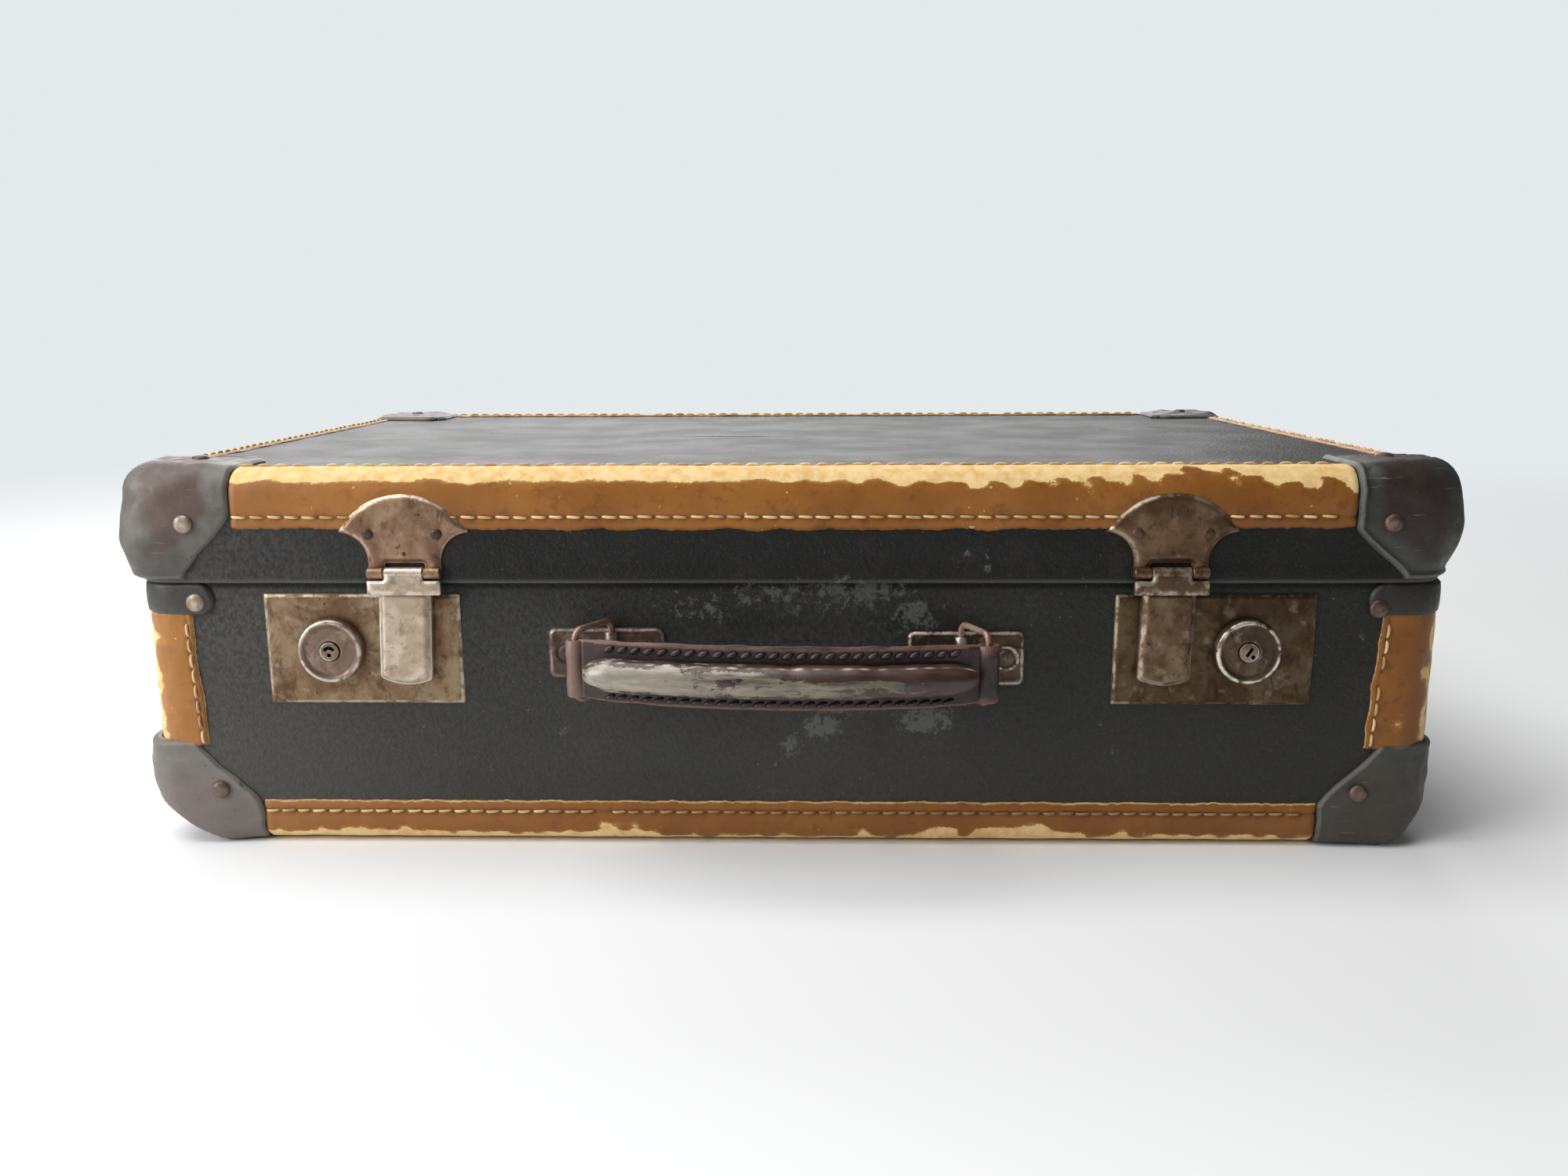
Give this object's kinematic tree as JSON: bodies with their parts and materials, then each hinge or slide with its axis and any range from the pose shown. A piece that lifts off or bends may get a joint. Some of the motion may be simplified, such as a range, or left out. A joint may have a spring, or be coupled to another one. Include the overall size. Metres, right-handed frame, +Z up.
{
  "type": "cardboard suitcase",
  "caption": "Hinged cardboard suitcase with sewn edge bindings, riveted corner caps, hasp locks and a padded leather handle.",
  "frame": {"origin": "under the middle of the case's bounding box, on the ground it stands on", "axes": "+X to the right when looking at the locks, +Y to the hinges at the back, +Z up, with the lid on top"},
  "size_m": [0.498, 0.3576, 0.1478],
  "materials": {
    "leatherette_board": "grained black covering cloth on board, scuffed",
    "lining_paper": "plain lining paper",
    "plain_board": "bare board",
    "tan_binding": "waxed tan binding, worn pale along the edges",
    "pressed_fibre": "dark pressed fibre, rubbed brown and grey",
    "rivet_steel": "dull plated steel",
    "lock_steel": "tarnished plated steel with bright edges",
    "worn_steel": "coppery worn plating",
    "hinge_steel": "dull plated steel",
    "hasp_steel": "worn plated steel with brown stains",
    "handle_leather": "dark brown leather",
    "roll_leather": "leather worn grey over the roll",
    "paper_cord": "twisted paper cord"
  },
  "bodies": {
    "base": {"base_tray": "leatherette_board", "base_lining": "lining_paper", "inner_lip": "plain_board", "base_binding_front": "tan_binding", "base_binding_back": "tan_binding", "base_binding_left": "tan_binding", "base_binding_right": "tan_binding", "corner_binding_front_left": "tan_binding", "corner_binding_front_right": "tan_binding", "corner_binding_back_left": "tan_binding", "corner_binding_back_right": "tan_binding", "base_cap_front_left": "pressed_fibre", "base_cap_front_right": "pressed_fibre", "base_cap_back_left": "pressed_fibre", "base_cap_back_right": "pressed_fibre", "mouth_bands": "pressed_fibre", "base_rivets": "rivet_steel", "lock_plate_left": "lock_steel", "lock_plate_right": "lock_steel", "lock_case_left": "lock_steel", "lock_case_right": "lock_steel", "lock_spring_left": "lock_steel", "lock_spring_right": "lock_steel", "handle_plate_left": "worn_steel", "handle_plate_right": "worn_steel", "handle_plate_rivets": "worn_steel", "hinge_lower_left": "hinge_steel", "hinge_lower_right": "hinge_steel", "hinge_pins": "hinge_steel"},
    "lid": {"hinge_upper_left": "hinge_steel", "hinge_upper_right": "hinge_steel", "lid_shell": "leatherette_board", "lid_lining": "lining_paper", "lid_binding_front": "tan_binding", "lid_binding_back": "tan_binding", "lid_binding_left": "tan_binding", "lid_binding_right": "tan_binding", "lid_cap_front_left": "pressed_fibre", "lid_cap_front_right": "pressed_fibre", "lid_cap_back_left": "pressed_fibre", "lid_cap_back_right": "pressed_fibre", "lid_rivets": "rivet_steel", "hasp_plate_left": "hasp_steel", "hasp_plate_right": "hasp_steel", "hasp_plate_nails": "rivet_steel", "hasp_pins": "hasp_steel"},
    "hasp_left": {"hasp_left": "hasp_steel"},
    "hasp_right": {"hasp_right": "hasp_steel"},
    "knob_left": {"lock_knob_left": "lock_steel", "lock_bolt_left": "lock_steel"},
    "knob_right": {"lock_knob_right": "lock_steel", "lock_bolt_right": "lock_steel"},
    "barrel_left": {"key_barrel_left": "lock_steel"},
    "barrel_right": {"key_barrel_right": "lock_steel"},
    "ring_left": {"handle_ring_left": "worn_steel"},
    "ring_right": {"handle_ring_right": "worn_steel"},
    "handle": {"handle_strap": "handle_leather", "handle_core": "paper_cord", "handle_cover": "roll_leather"}
  },
  "joints": [
    {"name": "lid_hinge", "type": "hinge", "parent": "base", "child": "lid", "pos_m": [0, 0.17636, 0.10275], "axis": [-1, 0, 0], "range_deg": [0, 110]},
    {"name": "hasp_left_swing", "type": "hinge", "parent": "lid", "child": "hasp_left", "pos_m": [-0.1402, -0.14384, 0.107], "axis": [-1, 0, 0], "range_deg": [0, 140]},
    {"name": "hasp_right_swing", "type": "hinge", "parent": "lid", "child": "hasp_right", "pos_m": [0.1402, -0.14384, 0.107], "axis": [-1, 0, 0], "range_deg": [0, 140]},
    {"name": "knob_left_slide", "type": "slide", "parent": "base", "child": "knob_left", "axis": [-1, 0, 0], "range_m": [0, 0.007], "stiffness_N_per_m": 500, "springref_m": -0.002, "deforming": ["lock_spring_left"]},
    {"name": "knob_right_slide", "type": "slide", "parent": "base", "child": "knob_right", "axis": [1, 0, 0], "range_m": [0, 0.007], "stiffness_N_per_m": 500, "springref_m": -0.002, "deforming": ["lock_spring_right"]},
    {"name": "key_left_turn", "type": "hinge", "parent": "knob_left", "child": "barrel_left", "pos_m": [-0.17, -0.14184, 0.0773], "axis": [0, -1, 0], "range_deg": [0, 90]},
    {"name": "key_right_turn", "type": "hinge", "parent": "knob_right", "child": "barrel_right", "pos_m": [0.17, -0.14184, 0.0773], "axis": [0, -1, 0], "range_deg": [0, 90]},
    {"name": "ring_left_swing", "type": "hinge", "parent": "base", "child": "ring_left", "pos_m": [-0.065, -0.14044, 0.0742], "axis": [0, 0, 1], "range_deg": [-10, 10]},
    {"name": "handle_swing", "type": "hinge", "parent": "ring_left", "child": "handle", "pos_m": [-0.07408, -0.15826, 0.0742], "axis": [0, 0, 1], "range_deg": [-8.8, 8.8]},
    {"name": "ring_right_swing", "type": "hinge", "parent": "base", "child": "ring_right", "pos_m": [0.065, -0.14044, 0.0742], "axis": [0, 0, 1], "range_deg": [-10.2, 10.2]}
  ],
  "couplings": [
    {"joint": "handle_swing", "follows": "ring_left_swing", "ratio": -0.8755},
    {"joint": "ring_right_swing", "follows": "ring_left_swing", "ratio": 1.0088}
  ]
}
